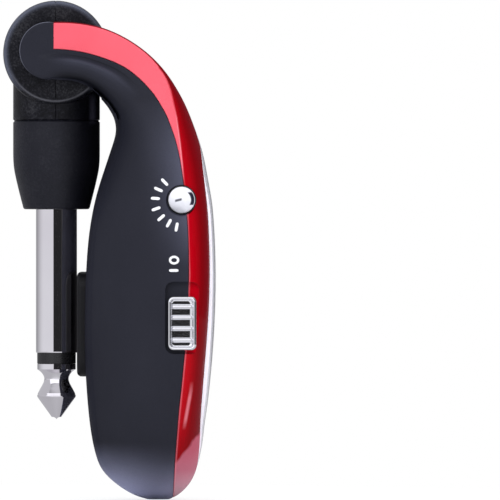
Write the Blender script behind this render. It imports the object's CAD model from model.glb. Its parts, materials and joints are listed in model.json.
import bpy
import bmesh
import json
import math
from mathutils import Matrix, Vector


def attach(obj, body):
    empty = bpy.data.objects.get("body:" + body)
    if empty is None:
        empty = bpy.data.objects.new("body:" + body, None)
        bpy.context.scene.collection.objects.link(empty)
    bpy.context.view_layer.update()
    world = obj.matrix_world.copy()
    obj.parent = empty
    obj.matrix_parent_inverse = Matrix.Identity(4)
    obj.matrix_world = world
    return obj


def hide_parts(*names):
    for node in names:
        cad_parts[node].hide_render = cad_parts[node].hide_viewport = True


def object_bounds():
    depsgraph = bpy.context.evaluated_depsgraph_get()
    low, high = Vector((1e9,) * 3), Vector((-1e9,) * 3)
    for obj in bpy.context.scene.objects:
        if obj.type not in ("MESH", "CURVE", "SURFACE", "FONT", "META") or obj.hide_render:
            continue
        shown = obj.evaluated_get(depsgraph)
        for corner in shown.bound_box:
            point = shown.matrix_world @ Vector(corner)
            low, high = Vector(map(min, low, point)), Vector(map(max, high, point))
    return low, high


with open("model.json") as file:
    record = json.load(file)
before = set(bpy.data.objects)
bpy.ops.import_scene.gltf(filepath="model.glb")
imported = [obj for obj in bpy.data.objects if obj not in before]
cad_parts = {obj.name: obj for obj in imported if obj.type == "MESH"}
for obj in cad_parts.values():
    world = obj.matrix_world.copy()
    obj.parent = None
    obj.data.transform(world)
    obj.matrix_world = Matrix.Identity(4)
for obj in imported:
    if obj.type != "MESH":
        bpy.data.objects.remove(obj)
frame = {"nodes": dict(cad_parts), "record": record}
CAD_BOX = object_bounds()
nodes = frame["nodes"]
scene = bpy.context.scene

# Pieces are laid out in mm and materials in metres, both from the centre of the fold pin.
MM = 0.001
PIN = (-0.00826, 0.0, 0.03042)  # the pin in the shared frame, metres
DEGREES = 180.0 / math.pi

# driving places shared by several sections, mm
BUTTON_X, BUTTON_DROP = 19.53, 22.71  # centre of the button, right of and below the pin
CAP_X, CAP_Z = 19.61, -41.62          # centre of the slide cap


# ------------------------------------------------------------------ shader graphs
class Value:
    """An output of a shader node; arithmetic on it adds math nodes."""

    def __init__(self, graph, socket):
        self.graph = graph
        self.socket = socket

    def __add__(self, other):
        return self.graph.math("ADD", self, other)

    def __radd__(self, other):
        return self.graph.math("ADD", other, self)

    def __sub__(self, other):
        return self.graph.math("SUBTRACT", self, other)

    def __rsub__(self, other):
        return self.graph.math("SUBTRACT", other, self)

    def __mul__(self, other):
        return self.graph.math("MULTIPLY", self, other)

    def __pow__(self, other):
        return self.graph.math("POWER", self, other)

    def __abs__(self):
        return self.graph.math("ABSOLUTE", self)

    def at_least(self, other):
        return self.graph.math("MAXIMUM", self, other)

    def fade(self, over, to=(0.0, 1.0), **settings):
        """Map the range `over` onto the range `to`, held constant outside it."""
        return self.graph.get("ShaderNodeMapRange", {
            "Value": self, "From Min": over[0], "From Max": over[1],
            "To Min": to[0], "To Max": to[1]}, **settings)

    def ramp(self, *stops):
        """Colour ramp; a stop is (position, colour or grey level)."""
        node = self.graph.add("ShaderNodeValToRGB", {0: self})
        elements = node.color_ramp.elements
        while len(elements) < len(stops):
            elements.new(0.5)
        for element, (position, colour) in zip(elements, stops):
            if not isinstance(colour, tuple):
                colour = (colour,) * 3
            element.position = position
            element.color = (*colour, 1)
        return Value(self.graph, node.outputs[0])

    def scaled(self, gain):
        return self.graph.get("ShaderNodeVectorMath", {0: self, "Scale": gain},
                              operation="SCALE")


class Graph:
    """Emptied node tree of a material or world."""

    def __init__(self, owner):
        owner.use_nodes = True
        self.tree = owner.node_tree
        self.tree.nodes.clear()

    def feed(self, node, inputs):
        """Link or set inputs, given as {name or index: value}."""
        for key, value in inputs.items():
            socket = node.inputs[key]
            if isinstance(value, Value):
                self.tree.links.new(value.socket, socket)
                continue
            if isinstance(value, tuple) and len(socket.default_value) == 4:
                value = (*value, 1)
            socket.default_value = value

    def add(self, kind, inputs=None, **settings):
        node = self.tree.nodes.new(kind)
        for key, value in settings.items():
            setattr(node, key, value)
        self.feed(node, inputs or {})
        return node

    def get(self, kind, inputs=None, output=0, **settings):
        """Add a node and return one of its outputs."""
        return Value(self, self.add(kind, inputs, **settings).outputs[output])

    def math(self, operation, *operands):
        return self.get("ShaderNodeMath", dict(enumerate(operands)), operation=operation)

    def split(self, vector):
        """The x, y and z of a vector."""
        node = self.add("ShaderNodeSeparateXYZ", {0: vector})
        return [Value(self, socket) for socket in node.outputs]

    def ray_kinds(self):
        """Is Camera Ray and Is Glossy Ray."""
        node = self.add("ShaderNodeLightPath")
        return [Value(self, node.outputs[key]) for key in ("Is Camera Ray", "Is Glossy Ray")]

    def mix_shader(self, factor, first, second):
        return self.get("ShaderNodeMixShader", {0: factor, 1: first, 2: second})


MATERIALS = {}
MIDDLE = (0.3, 0.7)  # the range that holds most of a noise


class Material(Graph):
    """Principled material with its position measured from the pin."""

    def __init__(self, name):
        MATERIALS[name] = bpy.data.materials.new(name)
        super().__init__(MATERIALS[name])
        self.output = self.add("ShaderNodeOutputMaterial")
        self.principled = self.add("ShaderNodeBsdfPrincipled")
        self.shader = Value(self, self.principled.outputs[0])
        self.show(self.shader)
        place = self.get("ShaderNodeTexCoord", output="Object")
        self.position = self.get("ShaderNodeVectorMath", {0: place, 1: PIN},
                                 operation="SUBTRACT")

    def show(self, shader):
        self.feed(self.output, {0: shader})

    def finish(self, inputs):
        """Set inputs of the Principled shader."""
        self.feed(self.principled, inputs)

    def noise(self, scale, detail, roughness=0.5, vector=None):
        return self.get("ShaderNodeTexNoise", {
            "Scale": scale, "Detail": detail, "Roughness": roughness,
            "Vector": vector or self.position}, output="Fac")

    def bump(self, height, strength, distance, normal=None):
        inputs = {"Strength": strength, "Distance": distance, "Height": height}
        if normal:
            inputs["Normal"] = normal
        return self.get("ShaderNodeBump", inputs)

    def mix(self, factor, first, second):
        return self.get("ShaderNodeMix", {0: factor, 6: first, 7: second}, output=2,
                        data_type="RGBA")

    def rounded_edge(self, radius):
        """Shading normal that softens edges."""
        return self.get("ShaderNodeBevel", {"Radius": radius}, samples=6)

    def normal_parts(self):
        return self.split(self.get("ShaderNodeNewGeometry", output="Normal"))

    def view_angle(self):
        """Degrees between the surface normal and the line to the eye."""
        geometry = self.add("ShaderNodeNewGeometry")
        cosine = self.get("ShaderNodeVectorMath", {
            0: Value(self, geometry.outputs["Normal"]),
            1: Value(self, geometry.outputs["Incoming"])}, output="Value",
            operation="DOT_PRODUCT")
        return self.math("ARCCOSINE", self.math("MINIMUM", cosine, 1.0)) * DEGREES


def peak(distance, steepness):
    """1 where the distance is 0, falling straight to 0 on both sides."""
    return (1.0 - abs(distance) * steepness).at_least(0.0)


# ------------------------------------------------------------------ lines on the housing
X_SPAN = 25.0                # mm; ramps hold x as a fraction of this
PER_SPAN = 1000.0 / X_SPAN   # metres to that fraction

# (z, x) in mm, where the flat flank of the neck turns away
FLANK_DEPTH = 20.0
FLANK_TURN = [(-20.0, 19.82), (-17.8, 19.66), (-14.0, 19.27), (-10.1, 18.72), (-5.9, 17.75),
              (-3.7, 16.95), (-2.4, 15.9), (0.0, 15.4)]

# (mm below the pin, x / X_SPAN) along the seam between black and red
SEAM_DEPTH = 70
SEAM = [(69, 0.72), (58, 0.753), (44, 0.809), (34, 0.824), (24.8, 0.812), (17.4, 0.777),
        (11.2, 0.71), (7.4, 0.636)]
# (mm below the pin, strength) of the pale band beside the seam
SEAM_BAND = [(40, 0), (33, 0.12), (26, 0.95), (17, 1), (11, 0.4), (7, 0)]


def flank_offset(mat):
    """How far +X of the flank's turn a point lies, in mm, and its z."""
    x, _, z = mat.split(mat.position)
    height = z.fade(over=(-FLANK_DEPTH * MM, 0.0))
    turn = height.ramp(*[((turn_z + FLANK_DEPTH) / FLANK_DEPTH, turn_x / X_SPAN)
                         for turn_z, turn_x in FLANK_TURN])
    return (x * PER_SPAN - turn) * X_SPAN, z


def depth_ramp(height, table):
    return height.ramp(*[(1 - depth / SEAM_DEPTH, level) for depth, level in table])


def seam_offset(x, z):
    """How far +X of the seam a point lies, in X_SPANs, and its height up the ramps."""
    height = z.fade(over=(-SEAM_DEPTH * MM, 0.0))
    return x * PER_SPAN - depth_ramp(height, SEAM), height


# ------------------------------------------------------------------ materials
def lacquer(name):
    """Candy lacquer over fine flake: bright face colour, deep flop colour, clear coat."""
    mat = Material(name)
    flake = mat.noise(scale=16000, detail=1)
    drift = mat.noise(scale=140, detail=3)
    angle = mat.view_angle()
    offset, flank_z = flank_offset(mat)
    x, _, z = mat.split(mat.position)

    # the deep colour starts past the flank's turn, on steep surfaces and below the neck
    past_turn = offset.fade(over=(-0.10, 0.22))
    steep = angle.fade(over=(30.0, 44.0))
    below_neck = flank_z.fade(over=(-0.0185, -0.0200))
    deep_part = past_turn.at_least(steep).at_least(below_neck)
    face = drift.ramp((0.3, (0.85, 0.116, 0.154)), (0.7, (0.91, 0.128, 0.170)))
    deep = angle.fade(over=(10, 70)).ramp(
        (0.0, (0.46, 0.001, 0.008)), (0.30, (0.37, 0.0006, 0.005)),
        (0.65, (0.20, 0.0005, 0.003)), (1.0, (0.16, 0.002, 0.006)))

    # paler foot under a slanting, slightly wavy line
    slant = z - (x - 0.0184) * 1.18
    waver = mat.noise(scale=330, detail=2).fade(over=MIDDLE, to=(-0.0004, 0.0004))
    foot_part = (slant + waver).fade(over=(-0.0629, -0.0635), to=(0.0, 0.9))
    foot = z.fade(over=(-0.0610, -0.0675)).ramp(
        (0.0, (0.46, 0.10, 0.145)), (0.5, (0.48, 0.150, 0.205)), (1.0, (0.58, 0.33, 0.39)))
    deep = mat.mix(foot_part, deep, foot)
    colour = mat.mix(deep_part, face, deep)

    # lighter edge along the seam
    past_seam, _ = seam_offset(x, z)
    seam_edge = (past_seam.fade(over=(0.014, 0.006))
                 * z.fade(over=(-0.0180, -0.0240), to=(0.0, 0.42)))
    colour = mat.mix(seam_edge, colour, (0.86, 0.20, 0.25))

    # short pale streak low down beside the seam
    streak_middle = z.fade(over=(-0.0520, -0.0580), to=(0.060, 0.040))
    streak_width = abs(past_seam - streak_middle).fade(over=(0.014, 0.004))
    streak_length = (z.fade(over=(-0.0580, -0.0562))
                     * z.fade(over=(-0.0505, -0.0530), to=(0.0, 0.55)))
    colour = mat.mix(streak_width * streak_length, colour, (0.86, 0.28, 0.33))

    # thin pale glint where the flank turns
    glint_length = z.fade(over=(-0.0200, -0.0080)).ramp(
        (0.0, 0), (0.25, 0.7), (0.75, 0.5), (1.0, 0))
    glint = peak(offset + 0.02, steepness=9.0) * glint_length
    colour = mat.mix(glint, colour, (0.95, 0.38, 0.44))

    normal = mat.rounded_edge(radius=0.00013)
    mat.finish({
        "Base Color": colour.scaled(flake.fade(over=(0.2, 0.8), to=(0.90, 1.08))),
        "Metallic": 0.0,
        "Specular IOR Level": 0.0,
        "Roughness": flake.fade(over=MIDDLE, to=(0.38, 0.46)),
        "Coat Weight": 0.28,
        "Coat Roughness": 0.06,
        "Coat IOR": 1.45,
        "Coat Normal": mat.bump(mat.noise(scale=900, detail=2), strength=0.03,
                                distance=0.0001, normal=normal),
        "Normal": mat.bump(flake, strength=0.04, distance=0.00002, normal=normal)})


def moulded_black(name, dark, light, roughness, grain, bump, specular, edge=None):
    """Moulded black plastic with a fine spark texture and slight tone drift."""
    mat = Material(name)
    drift = mat.noise(scale=60, detail=3)
    fine = mat.noise(scale=grain, detail=3, roughness=0.65)
    speck = mat.noise(scale=grain * 2.3, detail=2, roughness=0.6)
    normal = mat.rounded_edge(radius=edge) if edge else None
    mat.finish({
        "Base Color": (drift * 0.5 + fine * 0.5).ramp((0.3, dark), (0.75, light)),
        "Roughness": speck.fade(over=MIDDLE, to=(roughness - 0.05, roughness + 0.07)),
        "Specular IOR Level": specular,
        "Normal": mat.bump(fine, strength=bump, distance=0.00003, normal=normal)})


def body_black(name, vertex_tone=False):
    """Soft-touch black: bluish, paler on the shoulder beside the seam and on the underside."""
    mat = Material(name)
    drift = mat.noise(scale=60, detail=3)
    fine = mat.noise(scale=7000, detail=3, roughness=0.65)
    speck = mat.noise(scale=16000, detail=2, roughness=0.6)
    colour = (drift * 0.5 + fine * 0.5).ramp((0.3, (0.0150, 0.0154, 0.0225)),
                                             (0.75, (0.0232, 0.0240, 0.0340)))
    x, _, z = mat.split(mat.position)

    # pale band on the -X side of the seam
    past_seam, height = seam_offset(x, z)
    near_seam = past_seam.fade(over=(-0.30, 0.0))
    band = near_seam ** 2.2 * depth_ramp(height, SEAM_BAND)

    # lift on the underside, strongest where it faces -X or straight down
    normal_x, _, normal_z = mat.normal_parts()
    facing_down = (normal_z * -1.0).fade(over=(0.02, 0.25))
    low = z.fade(over=(-0.0598, -0.0680)) ** 1.5
    facing_left = (normal_x * -1.0).fade(over=(0.0, 0.80), to=(0.0, 16.0))
    sole = (normal_z * -1.0).fade(over=(0.50, 0.95), to=(0.0, 11.0))
    underside = facing_down * low * (facing_left + sole + 2.6)
    gain = 1.0 + (band * 3.0 + underside)
    if vertex_tone:
        gain = gain * mat.get("ShaderNodeAttribute", output="Fac", attribute_name="tone")

    # pale rim on steep surfaces near the height of the pin, on its -X side
    angle = mat.view_angle()
    rim = angle.fade(over=(40.0, 70.0), to=(0.0, 0.95)) * (
        z.fade(over=(-0.0034, -0.0010)) * x.fade(over=(-0.0002, -0.0012)))
    mat.finish({
        "Base Color": mat.mix(rim, colour.scaled(gain), (0.16, 0.165, 0.21)),
        "Roughness": speck.fade(over=MIDDLE, to=(0.37, 0.47)),
        "Specular IOR Level": angle.fade(over=(42.0, 68.0), to=(0.10, 0.004)),
        "Normal": mat.bump(fine, strength=0.16, distance=0.00003,
                           normal=mat.rounded_edge(radius=0.0001))})


def hub_skin(name):
    """Grained black of the hub, paler where the drum rim and the bead turn to the light."""
    mat = Material(name)
    drift = mat.noise(scale=260, detail=3)
    fine = mat.noise(scale=2900, detail=4, roughness=0.75)
    speck = mat.noise(scale=11000, detail=2, roughness=0.6)
    colour = (drift * 0.35 + fine * 0.65).ramp(
        (0.40, (0.0006, 0.0006, 0.0020)), (0.50, (0.0052, 0.0052, 0.0090)),
        (0.60, (0.0270, 0.0270, 0.0320)))
    x, y, z = mat.split(mat.position)

    # the boot below the joint line is smoother and a little bluer than the hub
    boot = z.fade(over=(-0.0103, -0.0105), to=(0.0, 0.75))
    colour = mat.mix(boot, colour, (0.0135, 0.0138, 0.0200))

    # pale rim of the drum, on its end faces only
    radius = mat.math("SQRT", x * x + z * z)
    on_drum = z.fade(over=(-0.0060, -0.0035))
    halo = radius.fade(over=(0.0070, 0.0081)).ramp(
        (0.0, 0), (0.35, 0.10), (0.72, 0.38), (1.0, 1))
    rim = (mat.view_angle().fade(over=(89.0, 84.0)) * on_drum
           * (halo * x.fade(over=(0.0035, 0.0065), to=(1.0, 0.5))))
    rim = rim * abs(y).fade(over=(0.0062, 0.0068))
    colour = mat.mix(rim, colour, (0.22, 0.24, 0.33))

    # pale crest of the bead, on its lower half
    crest = (peak(radius - 0.00742, steepness=4200.0)
             * z.fade(over=(-0.0020, -0.0060), to=(0.0, 0.6)))
    on_flank = abs(y).fade(over=(0.0060, 0.0066))
    colour = mat.mix(crest * on_flank, colour, (0.13, 0.13, 0.15))

    # the side of the collar that faces the housing darkens, then picks up a soft pale line
    on_collar = z.fade(over=(-0.0060, -0.0072))
    shade = on_collar * x.fade(over=(0.0005, 0.0042), to=(0.0, 0.75))
    colour = mat.mix(shade, colour, (0.0025, 0.0025, 0.004))
    line = peak(x - 0.0057, steepness=1500.0) * (
        on_collar * z.fade(over=(-0.0112, -0.0100), to=(0.0, 0.8)))
    colour = mat.mix(line, colour, (0.075, 0.072, 0.105))
    mat.finish({
        "Base Color": colour,
        "Roughness": speck.fade(over=MIDDLE, to=(0.30, 0.42)),
        "Specular IOR Level": 0.16,
        "Normal": mat.bump(fine, strength=0.9, distance=0.00006,
                           normal=mat.rounded_edge(radius=0.00008))})


def metal(name, dark, light, roughness, bump=0.02, stretch=14):
    """Plated or stamped metal; faint marks, squeezed along Z by `stretch`."""
    mat = Material(name)
    squeezed = mat.get("ShaderNodeMapping", {"Scale": (1, 1, stretch),
                                             "Vector": mat.position})
    marks = mat.noise(scale=700, detail=5, vector=squeezed)
    mat.finish({
        "Base Color": mat.noise(scale=90, detail=4).ramp((0.3, dark), (0.7, light)),
        "Metallic": 1.0,
        "Roughness": marks.fade(over=(0.35, 0.75), to=(roughness * 0.8, roughness * 1.35)),
        "Normal": mat.bump(marks, strength=bump, distance=0.00002)})


def plain(name, dark, light, roughness, scale, metallic=0.0, bump=0.05):
    """One noise drives tone, roughness and relief."""
    mat = Material(name)
    grain = mat.noise(scale=scale, detail=4)
    mat.finish({
        "Base Color": grain.ramp((0.3, dark), (0.7, light)),
        "Roughness": grain.fade(over=MIDDLE, to=(roughness * 0.85, roughness * 1.15)),
        "Metallic": metallic,
        "Normal": mat.bump(grain, strength=bump, distance=0.00004)})


def glass(name):
    mat = Material(name)
    mat.finish({
        "Base Color": (0.9, 0.93, 0.97),
        "Roughness": mat.noise(scale=300, detail=2).fade(over=MIDDLE, to=(0.03, 0.09)),
        "Transmission Weight": 0.85,
        "IOR": 1.49})


def plate_gloss(name):
    """Pale clear-coated plate that brightens where it turns away from +X."""
    mat = Material(name)
    drift = mat.noise(scale=60, detail=3)
    normal_x, _, _ = mat.normal_parts()
    turned = normal_x.fade(over=(0.94, 0.72))
    flat_tone = drift.ramp((0.3, (0.66, 0.65, 0.70)), (0.7, (0.71, 0.70, 0.75)))
    turned_tone = drift.ramp((0.3, (0.93, 0.91, 1.0)), (0.7, (0.97, 0.95, 1.0)))
    mat.finish({
        "Base Color": mat.mix(turned, flat_tone, turned_tone),
        "Roughness": mat.noise(scale=700, detail=3).fade(over=MIDDLE, to=(0.12, 0.17)),
        "Coat Weight": 0.6,
        "Coat Roughness": 0.03,
        "Coat Normal": mat.bump(mat.noise(scale=800, detail=2), strength=0.03,
                                distance=0.0001),
        "Emission Color": (0.90, 0.87, 1.0),
        "Emission Strength": turned * 0.10})


def button_finish(name):
    """Polished dome with two dark reflections: a small dash and a crescent on the +X side."""
    mat = Material(name)
    x, _, z = mat.split(mat.position)
    # mm to the right of and above the button's centre
    right = (x - BUTTON_X * MM) * 1000.0
    up = (z + BUTTON_DROP * MM) * 1000.0
    radius = mat.math("SQRT", right * right + up * up)
    dash = (abs(right + 0.50).fade(over=(0.60, 0.42))
            * abs(up + (right + 0.4) * -0.25).fade(over=(0.26, 0.10)))
    crescent = radius.fade(over=(1.36, 1.48)) * right.fade(over=(0.80, 1.05))
    crescent = crescent * (up.fade(over=(1.25, 1.10)) * up.fade(over=(-0.85, -0.70)))
    crescent = crescent * radius.fade(over=(1.98, 1.90))
    dark_part = (dash * 0.9).at_least(crescent)
    # brighter towards the top
    tone = (mat.noise(scale=900, detail=3) * 0.3
            + (up + right * 0.35).fade(over=(-1.9, 0.9), to=(0.0, 0.7)))
    silver = tone.ramp((0.15, (0.46, 0.46, 0.50)), (0.42, (0.74, 0.74, 0.79)),
                       (0.75, (0.92, 0.92, 0.97)))
    mat.finish({
        "Base Color": mat.mix(dark_part, silver, (0.012, 0.012, 0.03)),
        "Metallic": 0.25,
        "Roughness": mat.noise(scale=1500, detail=2).fade(over=MIDDLE, to=(0.30, 0.36)),
        "Normal": mat.bump(mat.noise(scale=1200, detail=2), strength=0.03,
                           distance=0.00002)})


CHROME_TONES = {"dark": (0.90, 0.90, 0.93), "light": (0.96, 0.96, 0.99)}

lacquer("red_gloss")
body_black("black_soft")
body_black("black_roll", vertex_tone=True)
glass("lens")
metal("chrome", **CHROME_TONES, roughness=0.05, bump=0.006)
metal("nickel", dark=(0.86, 0.83, 0.87), light=(0.92, 0.90, 0.93), roughness=0.032,
      bump=0.006)
hub_skin("hub_black")
moulded_black("rubber_pad", dark=(0.004, 0.004, 0.005), light=(0.009, 0.009, 0.012),
              roughness=0.36, grain=4200, bump=0.12, specular=0.2, edge=0.0001)
moulded_black("insulator_black", dark=(0.006, 0.006, 0.007), light=(0.012, 0.012, 0.013),
              roughness=0.28, grain=2500, bump=0.03, specular=0.5)
metal("steel", dark=(0.5, 0.5, 0.5), light=(0.62, 0.62, 0.62), roughness=0.28, stretch=30)
plain("pcb_green", dark=(0.008, 0.10, 0.045), light=(0.014, 0.15, 0.065), roughness=0.3,
      scale=900)
plain("chip_black", dark=(0.012, 0.012, 0.012), light=(0.03, 0.03, 0.03), roughness=0.55,
      scale=1500)
plain("battery_foil", dark=(0.5, 0.5, 0.52), light=(0.66, 0.66, 0.68), roughness=0.3,
      scale=250, metallic=0.9)
plain("foam_tape", dark=(0.03, 0.03, 0.03), light=(0.07, 0.07, 0.07), roughness=0.9,
      scale=2600, bump=0.6)
plain("wire_red", dark=(0.42, 0.01, 0.01), light=(0.55, 0.02, 0.02), roughness=0.4,
      scale=500)
plain("wire_black", dark=(0.012, 0.012, 0.012), light=(0.03, 0.03, 0.03), roughness=0.4,
      scale=500)
plain("ceramic", dark=(0.7, 0.67, 0.6), light=(0.8, 0.77, 0.7), roughness=0.3, scale=800)
metal("brass", dark=(0.66, 0.5, 0.24), light=(0.8, 0.63, 0.33), roughness=0.22)
plain("white_plastic", dark=(0.78, 0.78, 0.76), light=(0.86, 0.86, 0.84), roughness=0.35,
      scale=600)
plate_gloss("plate_gloss")
metal("chrome_soft", **CHROME_TONES, roughness=0.11, bump=0.006)
button_finish("button_finish")
plain("ink", dark=(0.80, 0.80, 0.82), light=(0.88, 0.88, 0.90), roughness=0.5, scale=2500,
      bump=0.08)

slot_of = {part["node"]: part["material_slot"] for part in frame["record"]["subparts"]}
for node_name, piece in nodes.items():
    piece.data.materials.clear()
    piece.data.materials.append(MATERIALS[slot_of[node_name]])


# ------------------------------------------------------------------ mesh helpers
def add_object(name, data):
    added = bpy.data.objects.new(name, data)
    scene.collection.objects.link(added)
    return added


def add_piece(name, shape, material, body, smooth=True, sharp=None, tone=None):
    """Object from (points in mm, faces), riding on a body.

    Edges steeper than `sharp` degrees stay crisp; `tone` is a value for each point.
    """
    points, faces = shape
    mesh = bpy.data.meshes.new(name)
    mesh.from_pydata([tuple(c * MM + origin for c, origin in zip(point, PIN))
                      for point in points], [], faces)
    if tone:
        attribute = mesh.attributes.new("tone", "FLOAT", "POINT")
        for k, value in enumerate(tone):
            attribute.data[k].value = value
    work = bmesh.new()
    work.from_mesh(mesh)
    bmesh.ops.remove_doubles(work, verts=work.verts, dist=1e-8)
    bmesh.ops.recalc_face_normals(work, faces=work.faces)
    for face in work.faces:
        face.smooth = smooth
    if sharp is not None:
        for edge in work.edges:
            if len(edge.link_faces) == 2 and edge.calc_face_angle(0.0) > math.radians(sharp):
                edge.smooth = False
    work.to_mesh(mesh)
    work.free()
    mesh.materials.append(MATERIALS[material])
    added = add_object(name, mesh)
    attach(added, body)
    return added


def skin(rings, closed=False):
    """Quads between equal-length rings; joined end to end if closed, else capped flat."""
    count, size = len(rings), len(rings[0])
    points = [point for ring in rings for point in ring]
    faces = []
    for k in range(count if closed else count - 1):
        here, there = k * size, ((k + 1) % count) * size
        for j in range(size):
            j2 = (j + 1) % size
            faces.append((here + j, here + j2, there + j2, there + j))
    if not closed:
        faces.append(tuple(range(size)))
        faces.append(tuple((count - 1) * size + j for j in range(size)))
    return points, faces


def circle(radius, segments):
    angles = [2 * math.pi * j / segments for j in range(segments)]
    return [(radius * math.cos(angle), radius * math.sin(angle)) for angle in angles]


def lathe_z(profile, closed=True):
    """Profile of (radius, z) turned about the Z axis."""
    return skin([[(x, y, z) for x, y in circle(radius, 128)] for radius, z in profile],
                closed)


def lathe_y(profile, centre_x=0.0, centre_z=0.0, segments=96, closed=False):
    """Profile of (radius, y) turned about an axis along Y."""
    return skin([[(centre_x + x, y, centre_z + z) for x, z in circle(radius, segments)]
                 for radius, y in profile], closed)


def arc(centre_x, centre_y, radius, start, end, steps):
    """Points on an arc; angles in degrees."""
    angles = [math.radians(start + (end - start) * k / steps) for k in range(steps + 1)]
    return [(centre_x + radius * math.cos(angle), centre_y + radius * math.sin(angle))
            for angle in angles]


def rounded_rectangle(half_x, half_z, radius, steps=10):
    """Counter-clockwise outline, 4 * (steps + 1) points."""
    radius = max(min(radius, half_x - 1e-4, half_z - 1e-4), 1e-3)
    outline = []
    for sign_x, sign_z, start in ((1, 1, 0), (-1, 1, 90), (-1, -1, 180), (1, -1, 270)):
        outline += arc(sign_x * (half_x - radius), sign_z * (half_z - radius), radius,
                       start, start + 90, steps)
    return outline


def ease(t):
    """Smooth step from 0 to 1."""
    t = max(0.0, min(1.0, t))
    return t * t * (3 - 2 * t)


def smooth_curve(stations, steps):
    """Catmull-Rom curve through the stations."""
    curve = []
    last = len(stations) - 1
    for k in range(last):
        around = (stations[max(0, k - 1)], stations[k],
                  stations[k + 1], stations[min(last, k + 2)])
        for j in range(steps):
            t = j / steps
            curve.append(tuple(
                0.5 * (2 * b + (c - a) * t + (2 * a - 5 * b + 4 * c - d) * t * t
                       + (3 * b - a - 3 * c + d) * t ** 3)
                for a, b, c, d in zip(*around)))
    curve.append(tuple(stations[-1]))
    return curve


# ------------------------------------------------------------------ slide cap
CAP_HALF_X, CAP_HALF_Z = 2.17, 4.125
CAP_BACK_Y = -16.99
RIM_Y, RIM_ROUND, RIM_RISE = -18.06, 0.26, 0.30  # outer round of the rim
RIM_INNER = 0.22                                 # inner round of the rim
RIM_CREST_Y = -18.36
# (inset, y) down the inner wall and over the dished floor
DISH = [(0.49, -18.02), (0.51, -17.90), (0.54, -17.82), (0.60, -17.77), (0.68, -17.75),
        (0.72, -17.75), (0.90, -17.75)]
RIB_CENTRES_Z = (-39.06, -40.70, -42.41, -44.18)
RIB_FOOT_Y, RIB_RISE, RIB_STEPS = -17.74, 0.50, 10
RIB_HALF_X, RIB_HALF_Z, RIB_ROUND = 1.62, 0.37, 0.34


def cap_ring(inset, y):
    """Outline of the cap; inside the dish its +X wall leans in further than the -X one."""
    lean = 0.30 * ease((inset - 0.46) / 0.14)
    outline = rounded_rectangle(CAP_HALF_X - inset, CAP_HALF_Z - inset, 0.85 - 0.75 * inset)
    return [(CAP_X + x - lean * (x + CAP_HALF_X - inset) / (2 * CAP_HALF_X - 2 * inset),
             y, CAP_Z + z) for x, z in outline]


def add_slide_cap():
    turns = [math.radians(angle) for angle in range(15, 91, 15)]
    profile = [(0.0, CAP_BACK_Y), (0.0, RIM_Y)]
    profile += [(RIM_ROUND - RIM_ROUND * math.cos(turn), RIM_Y - RIM_RISE * math.sin(turn))
                for turn in turns]
    profile += [(RIM_ROUND + RIM_INNER * math.sin(turn),
                 RIM_CREST_Y + RIM_INNER * (1 - math.cos(turn))) for turn in turns]
    profile += DISH
    cap = add_piece("slide_cap", skin([cap_ring(inset, y) for inset, y in profile]),
                    "chrome", "power_slider", sharp=60)
    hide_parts("power_slider")


def add_slide_stem():
    """Stem from the back of the cap down to the switch lever."""
    outline = rounded_rectangle(0.6, 1.0, radius=0.12, steps=4)
    rings = [[(CAP_X + x, y, CAP_Z + z) for x, z in outline] for y in (CAP_BACK_Y, -15.32)]
    add_piece("slide_cap_stem", skin(rings), "chrome", "power_slider", sharp=30)


def add_slide_rib(number, centre_z):
    rings = []
    for step in range(RIB_STEPS + 1):
        turn = math.radians(90.0 * step / RIB_STEPS)
        inset = RIB_ROUND * (1 - math.cos(turn))
        outline = rounded_rectangle(RIB_HALF_X - inset * 0.8, RIB_HALF_Z - inset,
                                    RIB_ROUND - inset * 0.9, steps=6)
        y = RIB_FOOT_Y - RIB_RISE * math.sin(turn)
        rings.append([(CAP_X - 0.02 + x, y, centre_z + z) for x, z in outline])
    add_piece("slide_rib_%d" % number, skin(rings), "chrome", "power_slider", sharp=60)


add_slide_cap()
add_slide_stem()
for k, rib_z in enumerate(RIB_CENTRES_Z):
    add_slide_rib(k + 1, rib_z)

# ------------------------------------------------------------------ channel button
BUTTON_RADIUS = 2.03
BUTTON_EDGE_Y, BUTTON_ROUND = -17.62, 0.16
DOME_TOP_Y, DOME_RADIUS, DOME_HALF_WIDTH, DOME_STEPS = -18.32, 5.2, 1.92, 14
# closed (radius, y) section of the black gasket that fills the gap round the button
GASKET = [(2.035, -17.0), (2.035, -17.40), (2.07, -17.46), (2.13, -17.47), (2.19, -17.42),
          (2.235, -17.32), (2.14, -17.0)]


def add_button():
    profile = [(BUTTON_RADIUS, -14.62), (BUTTON_RADIUS, -17.50),
               (BUTTON_RADIUS, BUTTON_EDGE_Y)]
    for turn in map(math.radians, (20, 40, 60)):
        profile.append((BUTTON_RADIUS - BUTTON_ROUND * (1 - math.cos(turn)),
                        BUTTON_EDGE_Y - BUTTON_ROUND * math.sin(turn)))
    dome_centre_y = DOME_TOP_Y + DOME_RADIUS
    widest = math.asin(DOME_HALF_WIDTH / DOME_RADIUS)
    for k in range(DOME_STEPS):
        turn = widest * (1 - k / DOME_STEPS)
        profile.append((DOME_RADIUS * math.sin(turn),
                        dome_centre_y - DOME_RADIUS * math.cos(turn)))
    profile.append((0.02, DOME_TOP_Y))
    button = add_piece("button_cap", lathe_y(profile, BUTTON_X, -BUTTON_DROP),
                       "button_finish", "channel_button", sharp=50)
    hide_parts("channel_button")


add_button()
add_piece("button_gasket", lathe_y(GASKET, BUTTON_X, -BUTTON_DROP, closed=True),
          "insulator_black", "housing", sharp=50)


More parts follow.
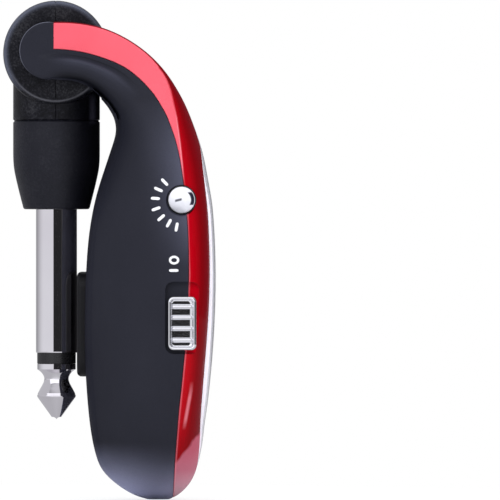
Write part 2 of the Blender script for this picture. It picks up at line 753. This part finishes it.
# ------------------------------------------------------------------ hub beads
def add_hub_bead(side, label):
    """Raised ring on one end face of the hub drum; side is the sign of y."""
    profile = [(7.00, side * 6.90)]
    for k in range(13):
        turn = math.pi * k / 12
        profile.append((7.36 - 0.34 * math.cos(turn),
                        side * (7.02 + 0.05 * math.cos(turn) + 0.15 * math.sin(turn))))
    profile.append((7.72, side * 6.70))
    add_piece("hub_bead_" + label, lathe_y(profile, segments=128, closed=True),
              "hub_black", "plug_arm", sharp=60)


SIDES = ((-1, "left"), (1, "right"))  # sign of y, name ending
for side, label in SIDES:
    add_hub_bead(side, label)

# ------------------------------------------------------------------ plug metal
# closed (radius, z) section of the sleeve and its collar
BARREL = [(1.87, -46.22), (1.95, -46.30), (3.07, -46.30), (3.15, -46.27), (3.175, -46.2),
          (3.175, -46.12), (3.175, -45.9), (3.175, -24.3), (3.175, -24.10), (3.0, -24.04),
          (3.0, -22.48), (4.36, -22.44), (4.36, -20.02), (2.9, -19.98), (2.9, -16.03),
          (1.87, -16.03)]
# (radius, z): the rod up the middle and the top of the tip
ROD = [(0.02, -14.42), (1.08, -14.42), (1.08, -47.98), (2.92, -47.98), (2.98, -48.04)]
# (radius, z) stations through the waist of the tip
WAIST = [(2.98, -48.86), (2.46, -49.24), (2.06, -49.75), (1.885, -50.3), (2.0, -50.88),
         (2.29, -51.46), (2.62, -52.06), (2.90, -52.60)]
POINT_RADIUS, POINT_Z = 0.75, -56.24  # where the cone meets the rounded point


def add_plug_point():
    profile = ROD + smooth_curve(WAIST, steps=6)
    profile += arc(2.62, -53.0, radius=0.37, start=42, end=-34, steps=6)
    profile.append((POINT_RADIUS, POINT_Z))
    for turn in map(math.radians, (20, 40, 60, 80)):
        profile.append((POINT_RADIUS - 0.74 * math.sin(turn),
                        POINT_Z - 0.42 * (1 - math.cos(turn))))
    point = add_piece("plug_point", lathe_z(profile, closed=False), "nickel", "plug_arm",
                      sharp=40)
    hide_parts("plug_tip")


barrel = add_piece("plug_barrel", lathe_z(BARREL), "nickel", "plug_arm", sharp=35)
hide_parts("plug_sleeve")
add_plug_point()


# ------------------------------------------------------------------ fork arms
def skin_y(x, z):
    """The y of the -Y side of the housing at (x, z), in mm, or None beside it."""
    start = Vector((x * MM + PIN[0], -0.05, z * MM + PIN[2]))
    found = []
    for shell in (nodes["rear_shell"], nodes["front_shell"]):
        hit, place, _, _ = shell.ray_cast(start, Vector((0, 1, 0)))
        if hit:
            found.append(place.y)
    return min(found) / MM if found else None


def point_along(line, fraction):
    """Point at a fraction of the length of a polyline."""
    lengths = [math.hypot(b[0] - a[0], b[1] - a[1]) for a, b in zip(line, line[1:])]
    left = fraction * sum(lengths)
    for (a, b), length in zip(zip(line, line[1:]), lengths):
        if left <= length:
            t = left / length
            return (a[0] + (b[0] - a[0]) * t, a[1] + (b[1] - a[1]) * t)
        left -= length
    return line[-1]


# (x, z) of the two edges of the rolled form on the black half of each arm
ROLL_SEAM_EDGE = smooth_curve([
    (-3.2, 0.22), (-1.6, 0.30), (-0.2, 0.26), (2.0, 0.12), (4.42, -0.26), (7.5, -1.18),
    (9.7, -2.09), (11.2, -3.0), (12.3, -3.9), (13.3, -4.8), (14.1, -5.75),
    (14.8, -6.75)], steps=10)
ROLL_LOWER_EDGE = smooth_curve([
    (-3.2, -3.2), (-1.6, -3.86), (0.23, -3.92), (1.9, -4.02), (3.4, -4.26), (4.66, -4.77),
    (5.76, -5.5), (6.72, -6.46), (7.66, -7.52), (8.45, -8.6), (9.03, -9.7),
    (9.3, -10.6)], steps=10)
STEPS_ALONG, STEPS_ACROSS = 110, 40
ROLL_GAIN = 1.1      # height of the roll, mm
ROLL_SINK = 0.012    # its zero height lies this far under the flank
ROLL_BACK = 0.12     # depth of its back under the flank
FLANK_Y = 10.8       # stands in where the housing is missing or set back beyond 9 mm

# (fraction from the seam to the lower edge, tone)
ROLL_TONES = [(0, 0.50), (0.10, 0.58), (0.19, 1.25), (0.29, 2.35), (0.40, 1.65),
              (0.55, 1.15), (0.70, 0.92), (0.82, 0.60), (0.92, 0.36), (1.0, 0.42)]


def roll_height(along, across):
    """Height over the flank, 0 to 1, with a shallow valley beside the seam."""
    if across < 0.08:
        height = 0.0
    elif across < 0.36:
        height = ease((across - 0.08) / 0.28)
    else:
        t = (across - 0.36) / 0.64
        height = math.sqrt(max(0.0, 1.0 - t * t))
    return height * ease(along / 0.26) * (1.0 - ease((along - 0.62) / 0.38))


def roll_tone(along, across):
    """Brightness across the roll, fading to 1 at both ends."""
    for (start, start_tone), (end, end_tone) in zip(ROLL_TONES, ROLL_TONES[1:]):
        if start <= across <= end:
            blend = ease((across - start) / (end - start))
            tone = start_tone + (end_tone - start_tone) * blend
            break
    weight = ease((along - 0.10) / 0.24) * (1.0 - ease((along - 0.60) / 0.38))
    return 1.0 + weight * (tone - 1.0)


def roll_faces():
    """Faces of the top and back grids and the wall round their border."""
    row = STEPS_ACROSS + 1
    back = (STEPS_ALONG + 1) * row
    faces = []
    for i in range(STEPS_ALONG):
        for j in range(STEPS_ACROSS):
            k = i * row + j
            faces.append((k, k + 1, k + row + 1, k + row))
            faces.append((back + k, back + k + row, back + k + row + 1, back + k + 1))
    border = (list(range(STEPS_ACROSS))
              + [i * row + STEPS_ACROSS for i in range(STEPS_ALONG)]
              + [STEPS_ALONG * row + j for j in range(STEPS_ACROSS, 0, -1)]
              + [i * row for i in range(STEPS_ALONG, 0, -1)])
    for a, b in zip(border, border[1:] + border[:1]):
        faces.append((a, back + a, back + b, b))
    return faces


def add_arm_roll(side, label):
    top, back, tones = [], [], []
    for i in range(STEPS_ALONG + 1):
        along = i / STEPS_ALONG
        seam = point_along(ROLL_SEAM_EDGE, along)
        lower = point_along(ROLL_LOWER_EDGE, along)
        for j in range(STEPS_ACROSS + 1):
            # points gather towards both edges
            across = j / STEPS_ACROSS
            across = 0.5 * (across + (1 - math.cos(math.pi * across)) / 2)
            x = seam[0] + (lower[0] - seam[0]) * across
            z = seam[1] + (lower[1] - seam[1]) * across
            y = skin_y(x, z)
            flank = FLANK_Y if y is None or y > -9 else abs(y)
            height = ROLL_GAIN * roll_height(along, across)
            tones.append(roll_tone(along, across))
            top.append((x, side * (flank + height - ROLL_SINK), z))
            back.append((x, side * (flank - ROLL_BACK), z))
    add_piece("arm_roll_" + label, (top + back, roll_faces()), "black_roll", "housing",
              sharp=50, tone=tones * 2)


for side, label in SIDES:
    add_arm_roll(side, label)

# ------------------------------------------------------------------ printed marks
INK_RISE, INK_SINK = 0.035, 0.05    # mm over and under the surface
END_WIDTHS = {0: 0.42, 1: 0.80}     # share of the width at the last points of a stroke
# (x, z) centres of the strokes on the -X and lower sides of the button
TICKS = [(16.9105, -19.9795), (15.965, -21.111), (15.5, -22.475), (15.6085, -24.0715),
         (16.3835, -25.4355), (17.5615, -26.2725), (18.755, -26.8615)]
TICK_HALF_LENGTH = 0.70
RING_X, RING_Z = 18.3675, -31.93
RING_HALF_X, RING_HALF_Z = 0.62, 0.50
BAR_X, BAR_Z = 18.321, -33.511


def add_stroke(name, line, width):
    """Raised ink line that follows the housing; line is a list of (x, z)."""
    count = len(line)
    closed = line[0] == line[-1]
    top, base = [], []
    for k in range(count):
        x0, z0 = line[max(0, k - 1)]
        x1, z1 = line[min(count - 1, k + 1)]
        length = math.hypot(x1 - x0, z1 - z0)
        across_x, across_z = -(z1 - z0) / length, (x1 - x0) / length
        share = 1.0 if closed else END_WIDTHS.get(min(k, count - 1 - k), 1.0)
        half = width / 2 * share
        for sign in (-1, 1):
            x = line[k][0] + across_x * half * sign
            z = line[k][1] + across_z * half * sign
            y = skin_y(x, z)
            top.append((x, y - INK_RISE, z))
            base.append((x, y + INK_SINK, z))
    under = 2 * count
    faces = []
    for k in range(count - 1):
        a, b, c, d = 2 * k, 2 * k + 1, 2 * k + 3, 2 * k + 2
        faces.append((a, b, c, d))
        faces.append((under + a, under + d, under + c, under + b))
        faces.append((a, d, under + d, under + a))
        faces.append((b, under + b, under + c, c))
    faces.append((0, under, under + 1, 1))
    end = 2 * (count - 1)
    faces.append((end, end + 1, under + end + 1, under + end))
    add_piece(name, (top + base, faces), "ink", "housing",
              smooth=False)


def add_tick(number, x, z):
    """Stroke that points away from the button's centre."""
    out_x, out_z = x - BUTTON_X, z + BUTTON_DROP
    length = math.hypot(out_x, out_z)
    reach_x = out_x / length * TICK_HALF_LENGTH
    reach_z = out_z / length * TICK_HALF_LENGTH
    line = [(x + reach_x * t, z + reach_z * t) for t in (-1, -0.86, -0.6, 0, 0.6, 0.86, 1)]
    add_stroke("mark_tick_%d" % number, line, width=0.46)


for k, (tick_x, tick_z) in enumerate(TICKS):
    add_tick(k + 1, tick_x, tick_z)

# a ring with a bar under it, above the slide cap
ring_line = [(RING_X + RING_HALF_X * math.cos(math.radians(angle)),
              RING_Z + RING_HALF_Z * math.sin(math.radians(angle)))
             for angle in range(0, 360, 12)]
add_stroke("mark_ring", ring_line + ring_line[:1], width=0.36)
add_stroke("mark_bar", [(BAR_X + reach, BAR_Z)
                        for reach in (-0.72, -0.62, -0.4, 0, 0.4, 0.62, 0.72)], width=0.44)

# ------------------------------------------------------------------ camera
VIEW_X, VIEW_Z = 29.9925 * MM, -30.38 * MM  # centre of the view, from the pin
VIEW_WIDTH = 77.5 * MM
CAMERA_DISTANCE = 1.5
SENSOR_WIDTH = 36.0

camera_data = bpy.data.cameras.new("camera")
camera = add_object("camera", camera_data)
camera.location = (VIEW_X + PIN[0], -CAMERA_DISTANCE, VIEW_Z + PIN[2])
camera.rotation_euler = (math.pi / 2, 0, 0)
camera_data.sensor_width = SENSOR_WIDTH
camera_data.lens = SENSOR_WIDTH * CAMERA_DISTANCE / VIEW_WIDTH
camera_data.clip_start = 0.01
camera_data.clip_end = 20.0
scene.camera = camera

# ------------------------------------------------------------------ floor
FLOOR_HALF = 0.42
FLOOR_GAP = 0.0002  # below the lowest point
COOL_WHITE = (0.95, 0.955, 1.0)


def floor_material(name):
    mat = Material(name)
    mat.finish({
        "Base Color": mat.noise(scale=3, detail=2).ramp((0.3, (0.90, 0.90, 0.905)),
                                                        (0.7, (0.93, 0.93, 0.935))),
        "Roughness": 0.9,
        "Specular IOR Level": 0.1})
    camera_ray, glossy_ray = mat.ray_kinds()
    # away from the object the pale floor runs into the pale background without a horizon
    distance = mat.get("ShaderNodeVectorMath", {0: mat.position}, output="Value",
                       operation="LENGTH")
    far = distance.fade(over=(0.02, 0.12), to=(0.45, 1.0))
    white = mat.get("ShaderNodeEmission", {0: (1, 1, 1), 1: 1.0})
    seen = mat.mix_shader(far * camera_ray, mat.shader, white)
    # what polished parts see of the floor: bright towards -Y, greyer at the sides
    x, y, _ = mat.split(mat.position)
    ahead = y * -1.0 - abs(x) * 0.7
    reflected = mat.get("ShaderNodeEmission", {
        0: COOL_WHITE, 1: ahead.fade(over=(0.0, 0.10), to=(0.50, 0.95))})
    mat.show(mat.mix_shader(glossy_ray, seen, reflected))


floor_z = CAD_BOX[0][2] - FLOOR_GAP
floor_mesh = bpy.data.meshes.new("floor")
floor_mesh.from_pydata([(x * FLOOR_HALF, y * FLOOR_HALF, floor_z)
                        for x, y in ((-1, -1), (1, -1), (1, 1), (-1, 1))],
                       [], [(0, 1, 2, 3)])
floor = add_object("floor", floor_mesh)
floor_material("floor")
floor_mesh.materials.append(MATERIALS["floor"])

# ------------------------------------------------------------------ world
# Soft-edged windows seen in reflections, each laid over those before it. Degrees; azimuth
# is 0 towards the camera and grows to +X.
# level, (azimuth from, to, elevation from, to, softness in azimuth, in elevation)
REFLECTIONS = [
    (0.30, (-62, -8, -50, 50, 6, 6)),
    (0.55, (-178, -60, -50, 60, 8, 6)),
    (0.75, (-178, -16, -7, 6, 1.0, 1)),
    (0.33, (-179, -112, -7, 6, 40, 1)),
    (0.16, (16, 178, -50, 40, 6, 6)),
    (1.25, (-64, 27, 2.5, 46, 4, 1)),
    (1.15, (-64, 27, -40, -2.5, 4, 1)),
    (0.02, (-16, 60, -1.7, 1.7, 1, 0.4)),
    (0.05, (29, 44, -20, 34, 2, 4)),
]


def soft_step(value, start, end):
    return value.fade(over=(start, end), interpolation_type="SMOOTHSTEP")


def soft_window(value, start, end, softness):
    return soft_step(value, start - softness, start + softness) * (
        1.0 - soft_step(value, end - softness, end + softness))


def build_world(name):
    world = bpy.data.worlds.new(name)
    scene.world = world
    graph = Graph(world)
    x, y, z = graph.split(graph.get("ShaderNodeTexCoord", output="Generated"))
    azimuth = graph.math("ARCTAN2", x, y * -1.0) * DEGREES
    elevation = graph.math("ARCSINE", z) * DEGREES

    level = 0.30 + soft_step(elevation, 20, 75) * 0.45
    for window_level, (left, right, low, high, soft_across, soft_up) in REFLECTIONS:
        mask = (soft_window(azimuth, left, right, soft_across)
                * soft_window(elevation, low, high, soft_up))
        level = level * (1.0 - mask) + mask * window_level
    tinted = graph.get("ShaderNodeCombineXYZ", {
        k: level * share for k, share in enumerate(COOL_WHITE)})

    def background(colour, strength):
        return graph.get("ShaderNodeBackground", {0: colour, 1: strength})

    reflected = background(tinted, 1.0)
    ambient = background((0.93, 0.95, 1.0), 0.34 + soft_step(elevation, -10, 65) * 0.95)
    seen = background((1, 1, 1), 1.0)
    camera_ray, glossy_ray = graph.ray_kinds()
    lighting = graph.mix_shader(glossy_ray, ambient, reflected)
    graph.add("ShaderNodeOutputWorld", {0: graph.mix_shader(camera_ray, lighting, seen)})


build_world("world")

# ------------------------------------------------------------------ lights
LIGHT_TARGET = Vector((0.008, 0, -0.03))
# name, place from the pin (m), width, height, power
LIGHTS = [
    ("key", (-0.25, -0.7, 0.55), 0.6, 0.5, 3.0),
    ("fill", (0.6, -0.5, 0.1), 0.5, 0.7, 1.0),
    ("back", (0.1, 0.6, 0.3), 0.8, 0.5, 3.0),
]


def add_area_light(name, place, width, height, power):
    """Rectangle aimed at the target, left out of reflections."""
    data = bpy.data.lights.new(name, "AREA")
    data.shape = "RECTANGLE"
    data.size = width
    data.size_y = height
    data.energy = power
    light = add_object(name, data)
    light.location = Vector(place) + Vector(PIN)
    aim = LIGHT_TARGET - Vector(place)
    light.rotation_euler = aim.to_track_quat("-Z", "Y").to_euler()
    light.visible_glossy = False


for light_row in LIGHTS:
    add_area_light(*light_row)

scene.view_settings.view_transform = "Standard"
